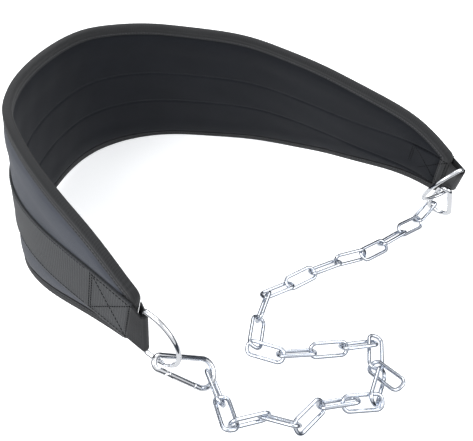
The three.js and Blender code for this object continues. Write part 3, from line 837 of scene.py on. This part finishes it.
def settle(obj, matrix, material, smooth_angle=40):
    """Applies modifiers and place, so that the object sits at the origin."""
    depsgraph = bpy.context.evaluated_depsgraph_get()
    mesh = bpy.data.meshes.new_from_object(obj.evaluated_get(depsgraph))
    mesh.transform(matrix)
    mesh.materials.clear()
    mesh.materials.append(material)
    mesh.polygons.foreach_set("material_index", [0] * len(mesh.polygons))
    mesh.polygons.foreach_set("use_smooth", [True] * len(mesh.polygons))
    mesh.set_sharp_from_angle(angle=math.radians(smooth_angle))
    result = link_object(obj.name + "_done", mesh)
    bpy.data.objects.remove(obj)
    return result


print("snap helpers ready")

# %% [markdown]
# The gate is a turned bar in the gap of the snap's side. A fork and a hole are cut in it for the
# tongue and the rivet of the body, and a notch for the nose.

# %% Spring snaps


def snap_body(end):
    quarter = math.pi / 2
    stub = ARM_START + ARM_WAY * (PIVOT_ALONG - EAR_CORNER - GATE_GAP)
    path = [ARM_START + ARM_WAY * NOSE_ALONG, ARM_START + ARM_WAY * (NOSE_ALONG + 1 * MM)]
    path += arc(SNAP_CENTRES, 0, BOW_RADIUS, -quarter - ARM_ANGLE, quarter + ARM_ANGLE, 40)
    path += arc(0, 0, EYE_RADIUS, quarter + ARM_ANGLE, 3 * quarter - ARM_ANGLE, 32)
    path += [stub - ARM_WAY * 1 * MM, stub]
    matrix = snap_matrix(end)
    along, across, normal = (matrix.to_3x3().col[k].copy() for k in range(3))
    rings = wire_rings(path, False, SNAP_WIRE, (along, across, normal), matrix.translation, True)
    wire = loft_piece("snap_wire", rings, chrome)
    on_arm = snap_matrix(end, on_arm=True)
    tongue_reach = EAR_CORNER + GATE_GAP + 1.5 * MM
    tongue_half = GATE_RADIUS - 0.2 * MM
    tongue = solid_block("tongue", -tongue_reach, EAR_REACH, -tongue_half, tongue_half,
                         TONGUE_THICKNESS, 0.35 * MM)
    pin = PIN_RADIUS
    rivet_half = GATE_RADIUS + 0.35 * MM
    rivet = turned_bar("rivet", [(-rivet_half, pin * 0.7), (-rivet_half + 0.2 * MM, pin * 1.35),
                                 (-GATE_RADIUS + 0.05 * MM, pin * 1.45), (-GATE_RADIUS + 0.06 * MM, pin),
                                 (GATE_RADIUS - 0.06 * MM, pin), (GATE_RADIUS - 0.05 * MM, pin * 1.45),
                                 (rivet_half - 0.2 * MM, pin * 1.35), (rivet_half, pin * 0.7)], "Z", 20)
    nose_start = NOSE_ALONG - PIVOT_ALONG
    nose = solid_block("nose", nose_start - NOSE_REACH, nose_start + 1.5 * MM, -tongue_half, 0,
                       NOSE_THICKNESS, 0.25 * MM)
    parts = [wire] + [settle(part, on_arm, chrome) for part in (tongue, rivet, nose)]
    piece = join_pieces(end + "_snap_hook", parts)
    return finish_piece(piece, "belt", "chrome", end + "_snap_body")


def snap_gate(end):
    length = NOSE_ALONG - PIVOT_ALONG - GATE_GAP
    round_by = 0.35 * MM
    bar = turned_bar("gate_bar", [(-EAR_REACH, GATE_RADIUS - round_by), (-EAR_REACH + round_by, GATE_RADIUS),
                                  (length - round_by, GATE_RADIUS), (length, GATE_RADIUS - round_by)], "X")
    wide = 4.6 * MM
    fork_end = EAR_CORNER + CLEARANCE
    fork = solid_block("fork", -wide, fork_end, -wide, wide, TONGUE_THICKNESS + 2 * CLEARANCE)
    bore = PIN_RADIUS + CLEARANCE
    hole = turned_bar("hole", [(-wide, bore), (wide, bore)], "Z", 20)
    notch_start = length + GATE_GAP - NOSE_REACH - 2 * CLEARANCE
    notch = solid_block("notch", notch_start, length + 1 * MM, -wide, CLEARANCE,
                        NOSE_THICKNESS + 2 * CLEARANCE)
    for cutter in (fork, hole, notch):
        cut = bar.modifiers.new(cutter.name, "BOOLEAN")
        cut.operation = "DIFFERENCE"
        cut.solver = "EXACT"
        cut.object = cutter
    piece = settle(bar, snap_matrix(end, on_arm=True), gate_steel)
    for cutter in (fork, hole, notch):
        bpy.data.objects.remove(cutter)
    piece.name = end + "_gate_bar"
    return finish_piece(piece, end + "_gate", "gate_steel", end + "_snap_gate")


for end in ENDS:
    snap_body(end)
    snap_gate(end)

# %% [markdown]
# Geometry Nodes make the pieces that repeat. Each tree puts a copy of one shape on every point. The
# instances are realized, and the result is kept as a plain mesh.

# %% Geometry Nodes helpers


def node_tree(name, inputs):
    tree = bpy.data.node_groups.new(name, "GeometryNodeTree")
    tree.interface.new_socket("Geometry", in_out="INPUT", socket_type="NodeSocketGeometry")
    keys = {}
    for label, kind in inputs.items():
        keys[label] = tree.interface.new_socket(label, in_out="INPUT", socket_type=kind).identifier
    tree.interface.new_socket("Geometry", in_out="OUTPUT", socket_type="NodeSocketGeometry")
    return tree, tree.nodes.new("NodeGroupInput"), tree.nodes.new("NodeGroupOutput"), keys


def run_tree(obj, tree, keys, values, name):
    """Runs the tree on the object and keeps its result as a plain mesh."""
    modifier = obj.modifiers.new("build", "NODES")
    modifier.node_group = tree
    for label, value in values.items():
        modifier[keys[label]] = value
    depsgraph = bpy.context.evaluated_depsgraph_get()
    mesh = bpy.data.meshes.new_from_object(obj.evaluated_get(depsgraph))
    mesh.name = name
    result = link_object(name, mesh)
    bpy.data.objects.remove(obj)
    return result


def copies_on_points(tree, points, shape, rotation, material, result):
    """Copies the shape to the points, realizes it, shades it smooth and gives it its material."""
    nodes, links = tree.nodes, tree.links
    copies = nodes.new("GeometryNodeInstanceOnPoints")
    links.new(points, copies.inputs["Points"])
    links.new(shape, copies.inputs["Instance"])
    links.new(rotation, copies.inputs["Rotation"])
    real = nodes.new("GeometryNodeRealizeInstances")
    links.new(copies.outputs["Instances"], real.inputs["Geometry"])
    smooth = nodes.new("GeometryNodeSetShadeSmooth")
    links.new(real.outputs["Geometry"], smooth.inputs["Geometry"])
    finish = nodes.new("GeometryNodeSetMaterial")
    links.new(smooth.outputs["Geometry"], finish.inputs["Geometry"])
    links.new(material, finish.inputs["Material"])
    links.new(finish.outputs["Geometry"], result.inputs["Geometry"])
    return copies


print("node helpers ready")

# %% [markdown]
# The chain is one link shape repeated along a route. Its tree bends the link from a rounded rectangle,
# sweeps a round wire along it and turns each copy by its point's own angles.

# %% Chain with Geometry Nodes
LINK_WIRE = 3.5 * MM
LINK_PITCH = 30 * MM
LINK_WIDTH = 16 * MM
LINK_CORNER = 5.2 * MM
LINK_CORNER_STEPS = 9
LINK_SIDES = 18


def chain_tree():
    tree, given, result, keys = node_tree("chain_links", {
        "Link Length": "NodeSocketFloat", "Link Width": "NodeSocketFloat", "Corner": "NodeSocketFloat",
        "Wire": "NodeSocketFloat", "Finish": "NodeSocketMaterial"})
    nodes, links = tree.nodes, tree.links
    shape = nodes.new("GeometryNodeCurvePrimitiveQuadrilateral")
    links.new(given.outputs["Link Length"], shape.inputs["Width"])
    links.new(given.outputs["Link Width"], shape.inputs["Height"])
    corner = nodes.new("GeometryNodeFilletCurve")
    corner.mode = "POLY"
    corner.inputs["Count"].default_value = LINK_CORNER_STEPS
    links.new(given.outputs["Corner"], corner.inputs["Radius"])
    links.new(shape.outputs["Curve"], corner.inputs["Curve"])
    section = nodes.new("GeometryNodeCurvePrimitiveCircle")
    section.inputs["Resolution"].default_value = LINK_SIDES
    half = nodes.new("ShaderNodeMath")
    half.operation = "MULTIPLY"
    half.inputs[1].default_value = 0.5
    links.new(given.outputs["Wire"], half.inputs[0])
    links.new(half.outputs[0], section.inputs["Radius"])
    sweep = nodes.new("GeometryNodeCurveToMesh")
    links.new(corner.outputs["Curve"], sweep.inputs["Curve"])
    links.new(section.outputs["Curve"], sweep.inputs["Profile Curve"])
    angles = nodes.new("GeometryNodeInputNamedAttribute")
    angles.data_type = "FLOAT_VECTOR"
    angles.inputs["Name"].default_value = "turn"
    turn = nodes.new("FunctionNodeEulerToRotation")
    links.new(angles.outputs["Attribute"], turn.inputs["Euler"])
    copies_on_points(tree, given.outputs["Geometry"], sweep.outputs["Mesh"], turn.outputs["Rotation"],
                     given.outputs["Finish"], result)
    return tree, keys


def link_turn(heading, tilt, roll):
    h, t, r = (math.radians(a) for a in (heading, tilt, roll))
    along = Vector((math.cos(h) * math.cos(t), math.sin(h) * math.cos(t), math.sin(t)))
    left = Vector((-math.sin(h), math.cos(h), 0))
    across = left * math.cos(r) + along.cross(left) * math.sin(r)
    return Matrix((along, across, along.cross(across))).transposed().to_euler("XYZ")


route = new_mesh("chain_route", [Vector(row[:3]) * MM + LAYOUT for row in CHAIN], [])
turns = route.attributes.new("turn", "FLOAT_VECTOR", "POINT")
for item, row in zip(turns.data, CHAIN):
    item.vector = link_turn(*row[3:])
route_object = link_object("chain_route", route)
tree, keys = chain_tree()
chain = run_tree(route_object, tree, keys, {
    "Link Length": LINK_PITCH + LINK_WIRE, "Link Width": LINK_WIDTH - LINK_WIRE, "Corner": LINK_CORNER,
    "Wire": LINK_WIRE, "Finish": chain_steel}, "loading_chain")
link_nodes = [f"chain_link_{i + 1:02d}" for i in range(len(CHAIN))]
finish_piece(chain, "belt", "chain_steel", *link_nodes)

# %% [markdown]
# Sewing holds it all together: two long seams through the webbing and the inner face, one seam round
# the binding, and a box with a cross at each end, where the ring pulls. Every stitch is a small bead
# of thread on a curve. Geometry Nodes space them evenly along the seam.

# %% Stitches with Geometry Nodes
STITCH_PITCH = 3.2 * MM
STITCH_LENGTH = 2.7 * MM
THREAD = 0.95 * MM
WEBBING_SEAM = 22.3 * MM
WEBBING_TOP = BAND_BASE + 1.52 * MM
TAPE_FACE = 3.82 * MM
TAPE_GROOVE = 3.38 * MM


def stitch_tree():
    tree, given, result, keys = node_tree("stitches", {
        "Pitch": "NodeSocketFloat", "Stitch Size": "NodeSocketVector", "Thread": "NodeSocketMaterial"})
    nodes, links = tree.nodes, tree.links
    points = nodes.new("GeometryNodeCurveToPoints")
    points.mode = "LENGTH"
    links.new(given.outputs["Geometry"], points.inputs["Curve"])
    links.new(given.outputs["Pitch"], points.inputs["Length"])
    bead = nodes.new("GeometryNodeMeshUVSphere")
    set_inputs(bead, {"Segments": 6, "Rings": 4, "Radius": 0.5})
    copies = copies_on_points(tree, points.outputs["Points"], bead.outputs["Mesh"],
                              points.outputs["Rotation"], given.outputs["Thread"], result)
    links.new(given.outputs["Stitch Size"], copies.inputs["Scale"])
    return tree, keys


stitch_nodes, stitch_keys = stitch_tree()


def sewn(name, lines, thread, slot_name):
    """Stitches along every line of points, as one piece."""
    curve = bpy.data.curves.new(name + "_path", "CURVE")
    curve.dimensions = "3D"
    for line in lines:
        spline = curve.splines.new("POLY")
        spline.points.add(len(line) - 1)
        for point, place in zip(spline.points, line):
            point.co = (*place, 1)
    path = link_object(name + "_path", curve)
    piece = run_tree(path, stitch_nodes, stitch_keys, {
        "Pitch": STITCH_PITCH, "Stitch Size": (THREAD, THREAD, STITCH_LENGTH), "Thread": thread}, name)
    return finish_piece(piece, "belt", slot_name)


def seam(points, place):
    """A seam through (s, q) places, cut into short steps and laid on a face."""
    line = []
    for (s0, q0), (s1, q1) in zip(points, points[1:]):
        steps = max(int(math.hypot(s1 - s0, q1 - q0) / (3 * MM)), 1)
        line += [place(s0 + (s1 - s0) * k / steps, q0 + (q1 - q0) * k / steps) for k in range(steps)]
    return line + [place(*points[-1])]


def on_webbing(s, q):
    return belt_point(s, q, WEBBING_TOP)


def on_inner_face(s, q):
    edge = min(s, BELT_LENGTH - s, half_width(s, 1) - abs(q))
    tape = TAPE_FACE if edge < BINDING_WIDTH + 0.4 * MM else 0
    return settled_point(s, q, -max(panel_height(s, q, edge, False), tape), 0)


BOX_START = 3 * MM
BOX_END = 41 * MM
BOX_HALF = 21.5 * MM


def box_with_cross(end, place):
    near = end == "near"
    s0, s1 = (BOX_START, BOX_END) if near else (BELT_LENGTH - BOX_START, BELT_LENGTH - BOX_END)
    corners = [(s0, BOX_HALF), (s1, BOX_HALF), (s1, -BOX_HALF), (s0, -BOX_HALF)]
    again = s1 + (2.2 * MM if near else -2.2 * MM)
    return [seam(corners + corners[:1], place), seam([corners[0], corners[2]], place),
            seam([corners[1], corners[3]], place), seam([(again, BOX_HALF), (again, -BOX_HALF)], place)]


LONG_SEAM_START = 50 * MM
box_lines = []
for end in ENDS:
    box_lines += box_with_cross(end, on_webbing)
    box_lines += box_with_cross(end, on_inner_face)
sewn("box_stitches", box_lines, dark_thread, "webbing")

long_lines = []
for side in (-1, 1):
    for q, place in ((WEBBING_SEAM, on_webbing), (INNER_SEAM, on_inner_face)):
        ends = [(LONG_SEAM_START, side * q), (BELT_LENGTH - LONG_SEAM_START, side * q)]
        long_lines.append(seam(ends, place))
sewn("long_stitches", long_lines, grey_thread, "panel_fabric")

binding_lines = []
for face_side in (1, -1):
    height = face_side * TAPE_GROOVE
    loop = edge_walk(lambda s, side: long_edge_place(s, side)(BINDING_SEAM, height, 0),
                     lambda end, side, turn: corner_place(end, side, turn)(BINDING_SEAM, height, 0))
    binding_lines.append(loop + loop[:1])
sewn("binding_stitches", binding_lines, tape_thread, "binding_tape")

# %% [markdown]
# The photograph looks down at about forty-five degrees, from close by, on a pure white ground. The
# camera has the lens and place that fit the picture.

# %% Camera
CAMERA_BACK = 365 * MM
CAMERA_HEIGHT = 401.57 * MM
CAMERA_PITCH = 44.97

camera_data = bpy.data.cameras.new("camera")
camera_data.lens = 38.05
camera_data.sensor_width = 36
camera_data.clip_start = 0.01
camera = link_object("camera", camera_data)
camera.location = LAYOUT + Vector((0, -CAMERA_BACK, CAMERA_HEIGHT))
camera.rotation_euler = (math.radians(90 - CAMERA_PITCH), 0, 0)
bpy.context.scene.camera = camera
print("camera at", [round(c, 4) for c in camera.location])

# %% [markdown]
# Large soft lights and a bright sky leave only the soft shadows inside the belt. A dark band round the
# studio is seen only in the metal, as thin lines along each wire.

# %% Floor, dark band and light
floor_material, nodes, links, shader = new_material("floor")
set_inputs(shader, {"Base Color": (0.93, 0.93, 0.935, 1), "Emission Color": (0.96, 0.98, 1, 1),
                    "Emission Strength": 0.58, "Roughness": 0.9, "Specular IOR Level": 0.1})
reach = 6.0
floor_corners = [(-reach, -reach, 0), (reach, -reach, 0), (reach, reach, 0), (-reach, reach, 0)]
floor_mesh = new_mesh("floor", floor_corners, [(0, 1, 2, 3)])
floor_mesh.materials.append(floor_material)
floor = link_object("floor", floor_mesh)
floor.visible_glossy = False

STUDIO_RADIUS = 1.6
STUDIO_SPANS = 36
band_material, nodes, links, shader = new_material("studio_band")
set_inputs(shader, {"Base Color": (0.012, 0.015, 0.022, 1), "Emission Color": (0.7, 0.82, 1, 1),
                    "Emission Strength": 0.03, "Roughness": 1})
band_points = []
for degrees in range(0, 360, 360 // STUDIO_SPANS):
    turn = math.radians(degrees)
    behind = (1 + math.sin(turn)) / 2
    for height in (-1.0 + 0.9 * behind, -0.1 + 1.25 * behind):
        band_points.append((STUDIO_RADIUS * math.cos(turn), STUDIO_RADIUS * math.sin(turn), height))
band_faces = []
for i in range(0, len(band_points), 2):
    band_faces.append((i, i + 1, (i + 3) % len(band_points), (i + 2) % len(band_points)))
band_mesh = new_mesh("studio_band", band_points, band_faces)
band_mesh.materials.append(band_material)
studio_band = link_object("studio_band", band_mesh)
studio_band.visible_camera = False
studio_band.visible_diffuse = False
studio_band.visible_shadow = False

world = bpy.data.worlds.new("studio")
world.use_nodes = True
sky = world.node_tree.nodes["Background"]
set_inputs(sky, {"Color": (0.97, 0.98, 1.0, 1), "Strength": 0.85})
bpy.context.scene.world = world
bpy.context.scene.view_settings.view_transform = "Standard"


def soft_light(name, place, power, size):
    data = bpy.data.lights.new(name, "AREA")
    data.energy = power
    data.size = size
    light = link_object(name, data)
    light.location = place
    light.rotation_euler = (Vector(place) * -1).to_track_quat("-Z", "Y").to_euler()


soft_light("key", (-0.9, -0.9, 1.5), 22, 1.0)
soft_light("fill", (1.2, -0.6, 1.2), 10, 1.2)
soft_light("back", (0.4, 1.4, 1.4), 12, 1.2)
print("lights", len(bpy.data.lights))
